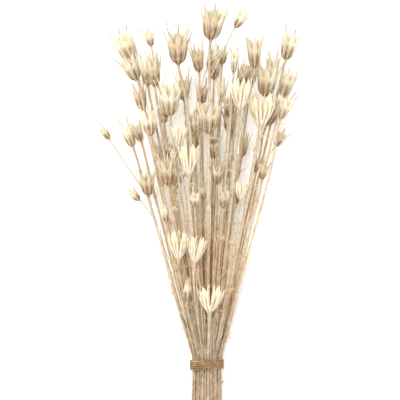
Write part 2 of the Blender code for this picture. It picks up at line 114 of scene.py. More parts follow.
# A pod: x and y of its base in mm, lean from +Y towards +X in degrees, width across the tips of
# its follicles, length of its body and of its beaks in mm, number of follicles, layer in the fan
# from -1 on the surface below to 1 in front, and form.
Pod = namedtuple("Pod", "x y lean width body beak count layer form", defaults=("closed",))
PODS = [
    Pod(4, 373, 8, 30, 31, 16, 8, 0.9),
    Pod(-34, 345, -1, 29, 32, 21, 8, 0.9),
    Pod(-9, 337, -6, 17, 23, 16, 6, 0.3),
    Pod(-64, 367, -12, 15, 15, 8, 6, 0.0),
    Pod(-85, 351, -27, 29, 31, 13, 8, -1.0),
    Pod(-80, 328, -25, 24, 24, 10, 7, 0.3),
    Pod(-59, 320, -4, 19, 31, 12, 6, 0.6),
    Pod(-41, 287, 0, 29, 30, 12, 8, 0.8),
    Pod(2, 266, 2, 28, 31, 17, 8, 1.1),
    Pod(-18, 263, -3, 19, 24, 10, 7, 0.8),
    Pod(39, 291, 4, 24, 28, 9, 7, 0.9, "open"),
    Pod(55, 341, 0, 20, 29, 7, 7, 0.5),
    Pod(91, 353, 14, 23, 27, 12, 7, -1.0),
    Pod(17, 346, 4, 14, 16, 6, 5, 0.0),
    Pod(57, 271, 3, 29, 31, 6, 8, 1.0, "open"),
    Pod(66, 309, 6, 28, 31, 15, 8, 0.5),
    Pod(87, 309, 18, 20, 25, 11, 6, -0.4),
    Pod(69, 277, 28, 21, 31, 19, 7, -0.5),
    Pod(64, 214, 8, 15, 15, 7, 6, 0.3),
    Pod(26, 268, 0, 20, 23, 9, 6, 0.3),
    Pod(-85, 251, -20, 17, 26, 12, 6, 0.1),
    Pod(-76, 258, -20, 15, 18, 8, 5, -0.8),
    Pod(-62, 264, -6, 21, 25, 9, 7, 0.5),
    Pod(-67, 195, -6, 21, 23, 9, 7, 0.9),
    Pod(-43, 207, -2, 23, 26, 9, 7, 1.0),
    Pod(11.5, 208, 0, 17, 20, 8, 6, 0.85),
    Pod(-20, 216, -2, 21, 28, 8, 7, 1.0, "open"),
    Pod(-50, 278, 3, 15, 24, 8, 5, -0.4),
    Pod(-15, 182, -2, 14, 14, 7, 5, 1.0),
    Pod(19, 181, 4, 16, 18, 8, 6, 1.05),
    Pod(-47, 163, -4, 8, 20, 5, 5, 1.0, "bud"),
    Pod(-33, 119, 2, 22, 27, 6, 8, 1.2, "open"),
    Pod(-14, 116, 8, 19, 24, 6, 7, 1.2, "open"),
    Pod(0, 59, 3, 28, 24, 6, 8, 1.5, "open"),
    Pod(-23, 72, 2, 12, 24, 5, 5, 1.2, "bud"),
    Pod(-32, 250, 2, 17, 20, 5, 6, 0.9, "open"),
    Pod(17, 302, 2, 14, 22, 9, 5, 0.2),
    Pod(36, 321, 16, 14, 19, 8, 5, 0.2),
    Pod(30, 335, 3, 11, 22, 9, 5, 0.6),
    Pod(-68, 322, -6, 17, 27, 10, 6, -0.6),
    Pod(74, 322, 5, 17, 29, 12, 6, -0.3),
    Pod(38, 188, 4, 15, 18, 6, 6, 0.8, "open"),
    Pod(-26, 305, -3, 19, 24, 12, 6, -0.7),
    Pod(-6, 300, 1, 16, 20, 10, 6, -0.1),
    Pod(44, 300, 6, 18, 22, 9, 6, -0.8),
    Pod(8, 238, 0, 17, 22, 9, 6, -0.6),
    Pod(40, 240, 6, 16, 20, 8, 6, -0.4),
    Pod(-50, 232, -8, 17, 21, 9, 6, -0.88),
    Pod(-14, 250, -2, 18, 22, 9, 6, -0.95),
    Pod(22, 214, 4, 15, 18, 8, 5, -0.7),
    Pod(8, 330, 3, 17, 21, 10, 6, -1.0),
    Pod(50, 318, 5, 18, 24, 11, 6, 0.0),
    Pod(84, 283, 20, 17, 22, 12, 6, 0.4),
    Pod(-74, 294, -12, 18, 23, 10, 6, -0.3),
    Pod(24, 286, 3, 16, 20, 8, 5, 0.5),
]
# Side twigs: the stem that carries one, the y in mm where it leaves the stem, and its pod.
TWIGS = [
    (0, 330, Pod(31, 388, 33, 15, 18, 8, 5, 0.4)),
    (2, 312, Pod(1, 342, 28, 13, 20, 11, 5, 0.5)),
    (20, 195, Pod(-112, 260, -35, 13, 15, 9, 5, 0.1)),
    (23, 168, Pod(-77, 190, -45, 13, 13, 8, 5, 0.5)),
    (17, 228, Pod(78, 252, 32, 16, 16, 9, 6, -0.2)),
    (36, 236, Pod(8, 254, -20, 6, 11, 2, 5, 0.2, "bud")),
    (9, 196, Pod(-30, 236, -14, 12, 15, 8, 5, 0.1)),
    (25, 142, Pod(-3, 190, -14, 11, 14, 7, 5, 0.5)),
    (46, 176, Pod(54, 222, 20, 12, 15, 8, 5, 0.0)),
    (42, 236, Pod(-12, 284, 20, 13, 16, 9, 5, -0.3)),
    (44, 222, Pod(29, 262, -14, 12, 15, 8, 5, -0.5)),
    (47, 164, Pod(-36, 204, 16, 12, 14, 8, 5, -0.5)),
    (22, 200, Pod(-48, 240, 18, 11, 14, 7, 5, 0.2)),
    (49, 146, Pod(32, 186, 18, 11, 13, 7, 5, -0.4)),
    (6, 256, Pod(-50, 298, 16, 11, 14, 8, 5, 0.2)),
]
# The two low pods that the bunch lies on, with the tie.
RESTING = (4, 12)


def tie_slots(count):
    """Places of the stems in the tie: the points of a hexagonal grid nearest to its middle."""
    grid = []
    for row in range(-SLOT_ROWS, SLOT_ROWS + 1):
        for column in range(-SLOT_COLUMNS, SLOT_COLUMNS + 1):
            across = (column + 0.5 * (row % 2)) * SLOT_PITCH
            up = row * SLOT_PITCH * math.sqrt(0.75)
            grid.append((across, up))
    grid.sort(key=lambda p: (p[0] / BUNDLE_HALF_WIDTH) ** 2 + (p[1] / BUNDLE_HALF_DEPTH) ** 2)
    return np.array(grid[:count])


def pod_height(pod):
    """Height of a pod's base above the surface, for its layer in the fan."""
    half = FAN_DEPTH_AT_TIE + FAN_DEPTH_GROWTH * pod.y * MM
    return half + pod.layer * (half - 0.5 * pod.width * MM)


def matched_slots(bases):
    """A slot for each stem, in the pods' order, such that straight stems would never cross."""
    slots = tie_slots(len(bases))
    aims = np.array([(x / y, (z - TIE_HEIGHT) / y) for x, y, z in bases])
    order = list(range(len(bases)))
    changed = True
    while changed:
        changed = False
        for i in range(len(order)):
            for j in range(i):
                apart = slots[order[i]] - slots[order[j]]
                if apart @ (aims[i] - aims[j]) < -HARDLY_ANY:
                    order[i], order[j] = order[j], order[i]
                    changed = True
    return slots[order]


def pod_reach(pod, height):
    """Radius that the layout keeps clear round a pod's axis, at a height above its base."""
    shares, clear = zip(*CLEAR_BODY)
    tips = 1.0 + pod.beak / pod.body
    share = height / (pod.body * MM)
    return 0.5 * pod.width * MM * np.interp(share, (*shares, tips), (*clear, CLEAR_TIPS))


class Strand:
    """A stem, or a twig on one: the points that the layout moves, and the pod on its end."""

    def __init__(self, pod, start, parent=None):
        self.pod = pod
        self.parent = parent
        self.base_y = pod.y * MM
        self.start_y = start[1]
        low, high = self.start_y + RING_MARGIN, self.base_y - RING_MARGIN
        inner = [y for y in np.arange(RING_STEP, TOP_Y, RING_STEP) if low < y < high]
        self.levels = np.array([self.start_y, *inner, self.base_y])
        self.goal = np.array([pod.x * MM, pod_height(pod)])
        begin = np.array([start[0], start[2]])
        along = ((self.levels - self.start_y) / (self.base_y - self.start_y))[:, None]
        self.points = begin + along * (self.goal - begin)
        rise = (self.goal[1] - TIE_HEIGHT) / self.base_y
        self.slope = np.array([math.tan(math.radians(pod.lean)), np.clip(rise, *RISE_LIMITS)])
        self.axis = Vector((self.slope[0], 1.0, self.slope[1])).normalized()
        self.start_r = STEM_R if parent is None else TWIG_R
        self.neck_r = TWIG_R if parent is not None else NECK_R + NECK_SHARE * pod.width * MM

    def at(self, y):
        """Where the stem is, across and up, at a place along the bunch."""
        return np.array([np.interp(y, self.levels, self.points[:, side]) for side in (0, 1)])

    def follows(self, fine):
        """How each fine level follows the points, its offset from them, its reach, and how
        readily it gives way."""
        follow = np.zeros((len(fine), len(self.levels)))
        offset = np.zeros((len(fine), 2))
        reach = np.zeros(len(fine))
        yields = np.ones(len(fine))
        top = self.base_y + (self.pod.body + self.pod.beak) * MM * self.axis.y
        units = np.eye(len(self.levels))
        for row, y in enumerate(fine):
            if self.start_y <= y <= self.base_y:
                for column, unit in enumerate(units):
                    follow[row, column] = np.interp(y, self.levels, unit)
                reach[row] = np.interp(y, (0.0, self.base_y), (self.start_r, self.neck_r))
            elif self.base_y < y <= top:
                follow[row, -1] = 1.0
                offset[row] = self.slope * (y - self.base_y)
                reach[row] = pod_reach(self.pod, (y - self.base_y) / self.axis.y) / self.axis.y
                yields[row] = POD_YIELDS
        return follow, offset, reach, yields


def straightened(levels, points):
    """Where each inner point would be on the line between its neighbours."""
    share = ((levels[1:-1] - levels[:-2]) / (levels[2:] - levels[:-2]))[:, None]
    return points[:-2] + share * (points[2:] - points[:-2])


def first_strands():
    """Straight stems from the tie to their pods, and the twigs on them."""
    bases = [(pod.x * MM, pod.y * MM, pod_height(pod)) for pod in PODS]
    slots = matched_slots(bases)
    strands = []
    for pod, slot in zip(PODS, slots):
        strands.append(Strand(pod, (slot[0], TIE_HALF_LENGTH, slot[1] + TIE_HEIGHT)))
    for parent, fork, pod in TWIGS:
        place = strands[parent].at(fork * MM)
        strands.append(Strand(pod, (place[0], fork * MM, place[1]), parent))
    return strands


def laid_out():
    """Strands for every stem and twig, moved until each is clear of all the others."""
    strands = first_strands()
    fine = np.arange(LEVEL_STEP, TOP_Y, LEVEL_STEP)
    follows = []
    offset = np.zeros((len(strands), len(fine), 2))
    reach = np.zeros((len(strands), len(fine)))
    yields = np.ones((len(strands), len(fine)))
    for row, strand in enumerate(strands):
        follow, offset[row], reach[row], yields[row] = strand.follows(fine)
        follows.append(follow)
    there = reach > 0
    meet = there[:, None] & there[None]
    for row, strand in enumerate(strands):
        meet[row, row] = False
        if strand.parent is not None:
            near = fine < strand.start_y + FORK_ROOM
            meet[row, strand.parent, near] = False
            meet[strand.parent, row, near] = False
    needed = (reach[:, None] + reach[None] + GAP) * meet
    share = yields[:, None] / (yields[:, None] + yields[None])
    for step in range(LAYOUT_STEPS):
        settling = step >= LAYOUT_STEPS - SETTLE_STEPS
        places = offset.copy()
        for row, strand in enumerate(strands):
            places[row] += follows[row] @ strand.points
        apart = places[:, None] - places[None]
        distance = np.sqrt((apart**2).sum(axis=-1)) + HARDLY_ANY
        over = np.clip(needed - distance, 0.0, None) * meet
        push = (apart * (share * over / distance)[..., None]).sum(axis=1)
        low = np.clip(reach + FLOOR_GAP - places[..., 1], 0.0, None) * there
        push[..., 1] += low
        pushed = ((over > 0).any(axis=1) | (low > 0)).astype(float)
        for row, strand in enumerate(strands):
            weight = follows[row].T
            norm = np.maximum(1.0, weight @ pushed[row])[:, None]
            moved = strand.points + (weight @ push[row]) / norm
            if not settling:
                moved[1:-1] += BEND * (straightened(strand.levels, moved) - moved[1:-1])
                moved[-1] += np.array(PULL) * (strand.goal - moved[-1])
            moved[0] = strand.points[0]
            if strand.parent is not None:
                moved[0] = strands[strand.parent].at(strand.start_y)
            strand.points = moved
    return strands


strands = laid_out()

# The stems
# A dried nigella stem is a thin pithy rod with five low ribs and a small swelling at each old
# leaf joint. It was cut off square at one end, and widens a little where the pod sits on it.
STEM_SIDES = 10
STEM_RIBS = 5
RIB_DEPTH = 0.10
ROW_STEP = 8 * MM
FEWEST_ROWS = 4
LAST_ROWS = (4 * MM, 1.5 * MM)
JOINT_STEP = (34 * MM, 62 * MM)
JOINT_HALF_LENGTH = 2.2 * MM
JOINT_ROOM = 1.6 * JOINT_HALF_LENGTH
JOINT_FREE_END = 20 * MM
JOINT_SWELLS = 1.28
FLARE = (1.0, 1.12, 1.35)
WANDER = 0.22 * MM
WANDER_STEP = 42 * MM
WANDER_ENDS = (40 * MM, 30 * MM)
STEMS_APART = 9.0
PITH_INSET = 0.35 * MM
PITH_SUNK = 0.25 * MM
SKIN, HUSK, LEAF = range(3)
chance = random.Random(7)
scene = bpy.context.scene


def eased(marks, values, place, last_slope=None):
    """A smooth value at a place between marks."""
    marks = np.asarray(marks, float)
    values = np.asarray(values, float)
    slopes = np.gradient(values, marks, axis=0)
    if last_slope is not None:
        slopes[-1] = last_slope
    before = int(np.clip(np.searchsorted(marks, place) - 1, 0, len(marks) - 2))
    span = marks[before + 1] - marks[before]
    share = min(1.0, max(0.0, (place - marks[before]) / span))
    rest = 1.0 - share
    low = values[before] + share * span * slopes[before] + 2.0 * share * values[before]
    high = values[before + 1] - rest * span * slopes[before + 1] + 2.0 * rest * values[before + 1]
    return rest**2 * low + share**2 * high


def across(axis):
    """Two unit vectors square to a direction that runs roughly along the stems."""
    side = axis.cross(Vector((0, 0, 1))).normalized()
    return side, side.cross(axis)


def front_share(point):
    """How near a point is to the front of the fan: 0 at its back and 1 at its front."""
    depth = 2.0 * (FAN_DEPTH_AT_TIE + FAN_DEPTH_GROWTH * max(0.0, point.y))
    return min(1.0, max(0.0, point.z / depth))


def fresh_shape():
    """An empty shape, with the layers that place its points and colour its surface."""
    bm = bmesh.new()
    bm.verts.layers.float.new("turn")
    bm.verts.layers.float_color.new("tone")
    return bm


def join(bm, part):
    """Adds a finished part to a shape."""
    mesh = bpy.data.meshes.new("part")
    part.to_mesh(mesh)
    part.free()
    bm.from_mesh(mesh)
    bpy.data.meshes.remove(mesh)


def lengthened(bm, edges):
    """New vertices drawn on from a run of edges, and the new edges that it now ends in."""
    grown = bmesh.ops.extrude_edge_only(bm, edges=edges)["geom"]
    verts = [part for part in grown if isinstance(part, bmesh.types.BMVert)]
    drawn = [part for part in grown if isinstance(part, bmesh.types.BMEdge)]
    new = set(verts)
    return verts, [edge for edge in drawn if new.issuperset(edge.verts)]


def drawn_rod(bm, path, radii, sides, skin, hue, rib=0.0):
    """Adds a rod to a shape, ribbed or plain, drawn out along a path from a round start."""
    rod = fresh_shape()
    turn = rod.verts.layers.float["turn"]
    tone = rod.verts.layers.float_color["tone"]
    ring = bmesh.ops.create_circle(rod, cap_ends=True, segments=sides, radius=1.0)["verts"]
    edges = list(ring[0].link_faces[0].edges)
    for corner, vert in enumerate(ring):
        vert[turn] = 2.0 * math.pi * corner / sides
    for row, (point, radius) in enumerate(zip(path, radii)):
        if row:
            ring, edges = lengthened(rod, edges)
        along = path[min(row + 1, len(path) - 1)] - path[max(row - 1, 0)]
        side, up = across(along.normalized())
        share = row / (len(path) - 1)
        for vert in ring:
            angle = vert[turn]
            reach = float(radius) * (1.0 + rib * math.cos(STEM_RIBS * angle))
            vert.co = point + reach * (math.cos(angle) * side + math.sin(angle) * up)
            ridge = 0.5 + 0.5 * math.cos(STEM_RIBS * angle)
            vert[tone] = (share, ridge, hue, front_share(vert.co))
    bmesh.ops.edgeloop_fill(rod, edges=edges)
    for face in rod.faces:
        face.material_index = skin
    join(bm, rod)


def stem_path(strand, shift):
    """Rows of a stem: points, radii and the places of its joints."""
    marks = list(strand.levels)
    places = [tuple(point) for point in strand.points]
    if strand.parent is None:
        slot = places[0]
        marks = [CUT_END_Y, -TIE_HALF_LENGTH, *marks]
        places = [(slot[0] * CUT_END_SPREAD, slot[1]), slot, *places]
    start, end = marks[0], marks[-1]
    count = max(FEWEST_ROWS, round((end - start) / ROW_STEP))
    rows = list(np.linspace(start, end - LAST_ROWS[0], count))
    joints = []
    joint = start + chance.uniform(*JOINT_STEP)
    while joint < end - JOINT_FREE_END:
        joints.append(joint)
        joint += chance.uniform(*JOINT_STEP)
    rows = [row for row in rows if all(abs(row - joint) > JOINT_ROOM for joint in joints)]
    for joint in joints:
        rows += [joint - JOINT_HALF_LENGTH, joint, joint + JOINT_HALF_LENGTH]
    rows += [end - LAST_ROWS[1], end]
    rows.sort()
    path = []
    radii = []
    for y in rows:
        x, z = eased(marks, places, y, strand.slope)
        free = min(1.0, abs(y) / WANDER_ENDS[0], (end - y) / WANDER_ENDS[1])
        bend = noise.noise_vector(Vector((y / WANDER_STEP, STEMS_APART * shift, 0.0)))
        path.append(Vector((x + free * WANDER * bend.x, y, z + free * WANDER * bend.z)))
        radius = np.interp(y, (start, end), (strand.start_r, strand.neck_r))
        if y in joints:
            radius *= JOINT_SWELLS
        radii.append(radius)
    for back, flare in enumerate(reversed(FLARE)):
        radii[-1 - back] *= flare
    joint_points = [(path[rows.index(joint)], joint) for joint in joints]
    return path, radii, joint_points


# Every surface of the bunch is dried fibre, with fine streaks along it and soft blotches. A Mix node
# has sockets for each kind of data, and the numbers below are those of its colours.
FIBRE_STRETCH = (1300.0, 22.0, 1300.0)
BLOTCH_SCALE = 160.0
SPOT_SCALE = 900.0
FIBRE_RELIEF = 0.4 * MM
DULL = 0.25
HUE_BRIGHTNESS = (0.77, 1.0)
PATCH_SCALE = 11.0
# Where the stems were bleached least, as x and as y times BROWN_SQUEEZE.
BROWNEST = (0.012, 0.050, 0.0)
BROWN_SQUEEZE = (1.0, 0.45, 0.0)
BROWN_REACH = (0.04, 0.01)
LOW_DOWN = 0.15
MIX_SHARE, MIX_LOW, MIX_HIGH, MIX_RESULT = 0, 6, 7, 2


def set_inputs(shader_node, values):
    """Sets or links a node's inputs, given by name or by number."""
    for key, value in values.items():
        socket = shader_node.inputs[key]
        if isinstance(value, bpy.types.NodeSocket):
            shader_node.id_data.links.new(value, socket)
        else:
            socket.default_value = value


def add(tree, kind, values=None, **settings):
    """A node with its settings, and its inputs set or linked."""
    made = tree.nodes.new("ShaderNode" + kind)
    for name, value in settings.items():
        setattr(made, name, value)
    set_inputs(made, values or {})
    return made


def mixed(tree, share, low, high, how="MIX"):
    """Colours blended by a share."""
    values = {MIX_SHARE: share, MIX_LOW: low, MIX_HIGH: high}
    return add(tree, "Mix", values, data_type="RGBA", blend_type=how).outputs[MIX_RESULT]


def times(value, factor):
    """Two shares multiplied."""
    return add(value.id_data, "Math", {0: value, 1: factor}, operation="MULTIPLY").outputs[0]


def ramped(value, start, end, low=0.0, high=1.0):
    """A share that runs smoothly from low to high as the value goes from start to end."""
    values = {"Value": value, "From Min": start, "From Max": end, "To Min": low, "To Max": high}
    ramp = add(value.id_data, "MapRange", values, interpolation_type="SMOOTHSTEP")
    return ramp.outputs["Result"]


def speckled(tree, place, scale, detail):
    """A soft random pattern."""
    return add(tree, "TexNoise", {"Vector": place, "Scale": scale, "Detail": detail}).outputs["Fac"]


def linear(red, green, blue):
    """A colour given as it looks on a screen, as light."""
    light = [((part / 255 + 0.055) / 1.055) ** 2.4 for part in (red, green, blue)]
    return (*light, 1.0)


def fibre_group():
    """Streaks, blotches and spots over a colour, with the streaks' height."""
    tree = bpy.data.node_groups.new("dried_fibre", "ShaderNodeTree")
    face = tree.interface
    face.new_socket("Color", in_out="INPUT", socket_type="NodeSocketColor")
    for name in ("Streaks", "Blotches", "Hue"):
        face.new_socket(name, in_out="INPUT", socket_type="NodeSocketFloat")
    face.new_socket("Color", in_out="OUTPUT", socket_type="NodeSocketColor")
    face.new_socket("Height", in_out="OUTPUT", socket_type="NodeSocketFloat")
    given = tree.nodes.new("NodeGroupInput").outputs
    out = tree.nodes.new("NodeGroupOutput")
    place = add(tree, "TexCoord").outputs["Object"]
    stretched = add(tree, "Mapping", {"Vector": place, "Scale": FIBRE_STRETCH}).outputs["Vector"]
    streak = speckled(tree, stretched, 1.0, 3.0)
    blotch = speckled(tree, place, BLOTCH_SCALE, 4.0)
    spot = speckled(tree, place, SPOT_SCALE, 2.0)
    color = given["Color"]
    dark = mixed(tree, 1.0, color, linear(208, 184, 154), "MULTIPLY")
    light = mixed(tree, 0.35, color, linear(255, 250, 238))
    color = mixed(tree, times(ramped(streak, 0.52, 0.78), given["Streaks"]), color, dark)
    color = mixed(tree, times(ramped(blotch, 0.50, 0.72), given["Blotches"]), color, dark)
    color = mixed(tree, ramped(blotch, 0.50, 0.30, 0.0, 0.7), color, light)
    color = mixed(tree, ramped(spot, 0.70, 0.80, 0.0, 0.5), color, dark)
    bright = ramped(given["Hue"], 0.0, 1.0, *HUE_BRIGHTNESS)
    shade = add(tree, "CombineColor", {"Red": bright, "Green": bright, "Blue": bright})
    color = mixed(tree, 1.0, color, shade.outputs["Color"], "MULTIPLY")
    set_inputs(out, {"Color": color, "Height": streak})
    return tree


dried_fibre = fibre_group()


def fibre_material(name, roughness, bump):
    """A material that still needs the colour of its fibre, its group, and its piece's four tones."""
    look = bpy.data.materials.new(name)
    look.use_nodes = True
    tree = look.node_tree
    shader = tree.nodes["Principled BSDF"]
    tone = add(tree, "Attribute", attribute_name="tone").outputs
    parts = add(tree, "SeparateColor", {"Color": tone["Color"]}).outputs
    group = tree.nodes.new("ShaderNodeGroup")
    group.node_tree = dried_fibre
    set_inputs(group, {"Hue": parts["Blue"]})
    relief = {"Height": group.outputs["Height"], "Strength": bump, "Distance": FIBRE_RELIEF}
    raised = add(tree, "Bump", relief).outputs["Normal"]
    set_inputs(shader, {"Base Color": group.outputs["Color"], "Normal": raised})
    set_inputs(shader, {"Roughness": roughness, "Specular IOR Level": DULL})
    return look, group, (parts["Red"], parts["Green"], parts["Blue"], tone["Alpha"])


def browned(tree):
    """Large soft patches where the stems and leaves were bleached less."""
    place = add(tree, "TexCoord").outputs["Object"]
    patch = ramped(speckled(tree, place, PATCH_SCALE, 1.0), 0.52, 0.68, 0.0, 0.4)
    flat = add(tree, "VectorMath", {0: place, 1: BROWN_SQUEEZE}, operation="MULTIPLY").outputs[0]
    away = add(tree, "VectorMath", {0: flat, 1: BROWNEST}, operation="DISTANCE").outputs["Value"]
    near = ramped(away, *BROWN_REACH, 0.0, 0.7)
    return add(tree, "Math", {0: patch, 1: near}, operation="MAXIMUM").outputs[0]


def low_down(tree):
    """A share that grows from well above the tie to the cut ends, for the painted shade low on the stems.
    """
    place = add(tree, "TexCoord").outputs["Object"]
    height = add(tree, "SeparateXYZ", {"Vector": place}).outputs["Y"]
    return ramped(height, LOW_DOWN, 0.0)


def stem_skin():
    """Bleached skin, with painted shade between its ribs, at the back of the fan and near the tie."""
    look, group, (along, rib, hue, front) = fibre_material("stem_skin", 0.62, 0.5)
    tree = look.node_tree
    pale = mixed(tree, ramped(along, 0.75, 1.0), linear(234, 220, 192), linear(208, 194, 168))
    pale = mixed(tree, ramped(hue, 0.62, 0.72, 0.0, 0.7), pale, linear(206, 192, 170))
    # Painted shade near the tie and the cut ends, on the stems in front and at the back.
    low = low_down(tree)
    pale = mixed(tree, low, pale, linear(194, 176, 152))
    # Painted shade on the stems at the back of the fan: darker than those in front, warmer high up,
    # darkest low near the tie.
    deep = mixed(tree, low, linear(223, 197, 158), linear(136, 111, 86))
    color = mixed(tree, ramped(front, 0.20, 0.85), deep, pale)
    color = mixed(tree, browned(tree), color, linear(214, 177, 132))
    # Painted shade in the grooves between the ribs.
    color = mixed(tree, ramped(rib, 0.0, 0.45, 0.6, 0.0), color, linear(176, 147, 113))
    set_inputs(group, {"Color": color, "Streaks": 0.4, "Blotches": 0.45})
    return look


# The pods
# A nigella pod is a ring of papery follicles, each folded to a keel and grown to its neighbours
# with a deep furrow between. Their free tips end in long thin beaks, and open as they dry.
WALL = 0.38 * MM
LEAST_CLEAR = 0.10 * MM
COLUMNS = 6
POD_TURN = 0.37
HUE_VARIES = 0.15
LEAN_VARIES = 0.04
DRIFT_VARIES = 0.11
KEEL_POWER = 1.5
RIDGE_PROUD = 0.010
CRUMPLED = 0.010
CRUMPLE_SCALE = (3.0, 5.0)
EDGE_LOWERED = 0.03
SAME_PLACE = 0.01
BEAK_VARIES = 0.15
BEAK_RHYTHM = 2.4
BEAK_ROWS = (0.2, 0.4, 0.6, 0.8, 1.0)
BEAK_LEAST = 0.1
BEAK_LEANS = 0.6
BEAK_KEEL = 0.02
BEAK_HALF_WIDTH = (0.76 * MM, 0.36 * MM)
FACING_ROWS = 4
# The thin inner walls that stand between the follicles.
FIN_GRID = (5, 3)
FIN_CLEAR = 0.3 * MM
FIN_LOW = 0.16
FIN_CREST_AT = 0.25
FIN_CREST_VARIES = 0.06
FIN_BENDS = 0.10
FIN_FROM_AXIS = 0.03
FIN_FURROW = 0.3
# A form, in shares of a pod's width and of its body's length: how far its keels and grooves are
# from the axis by height, the heights of the cup's rows, the heights and widths of the free tips'
# rows, where a follicle's points are, how their edges fold, how far out the beaks end, the inner
# walls' crest and hollow, the range of hues, and how loose and how ragged the tips are.
Form = namedtuple("Form", "keels grooves cup free points fold tip fin hue loose ragged")
FORMS = {
    "closed": Form(
        keels=(
            (0.0, 0.10), (0.05, 0.19), (0.12, 0.26), (0.28, 0.325), (0.55, 0.38), (0.8, 0.44), (1.2, 0.56)
        ),
        grooves=(
            (0.0, 0.09), (0.05, 0.15), (0.12, 0.20), (0.28, 0.25), (0.55, 0.305), (0.8, 0.37), (1.2, 0.51)
        ),
        cup=(0.0, 0.03, 0.07, 0.13, 0.22, 0.33, 0.46, 0.58, 0.68),
        free=((0.75, 0.84), (0.84, 0.68), (0.94, 0.51), (1.05, 0.33), (1.16, 0.17)),
        points=(0.0,),
        fold=-0.03,
        tip=0.66,
        fin=(1.06, 0.66),
        hue=(0.0, 0.75),
        loose=1.0,
        ragged=0.03,
    ),
    "open": Form(
        keels=((0.0, 0.08), (0.10, 0.135), (0.22, 0.215), (0.52, 0.39), (0.88, 0.52), (1.2, 0.59)),
        grooves=((0.0, 0.07), (0.10, 0.12), (0.22, 0.19), (0.52, 0.355), (0.88, 0.49), (1.2, 0.56)),
        cup=(0.0, 0.03, 0.08, 0.16, 0.26, 0.34),
        free=((0.42, 0.92), (0.52, 0.80), (0.64, 0.65), (0.77, 0.48), (0.90, 0.31), (1.03, 0.17)),
        points=(-0.25, 0.25),
        fold=0.02,
        tip=0.62,
        fin=(1.14, 0.55),
        hue=(1.2, 1.2),
        loose=1.6,
        ragged=0.10,
    ),
    "bud": Form(
        keels=((0.0, 0.14), (0.22, 0.44), (0.60, 0.42), (0.92, 0.26), (1.2, 0.12)),
        grooves=((0.0, 0.12), (0.22, 0.35), (0.60, 0.33), (0.92, 0.22), (1.2, 0.10)),
        cup=(0.0, 0.04, 0.10, 0.18, 0.30, 0.45, 0.60, 0.74),
        free=((0.84, 0.95), (0.93, 0.75), (1.02, 0.45)),
        points=(0.0,),
        fold=-0.02,
        tip=0.10,
        fin=None,
        hue=(0.0, 0.75),
        loose=1.0,
        ragged=0.03,
    ),
}


def kept_inside(point, margin):
    """A point, kept above the surface and inside the box of the frame."""
    lowest, highest = frame_box
    kept = [min(highest[side] - margin, max(lowest[side] + margin, point[side])) for side in range(3)]
    return Vector(kept)


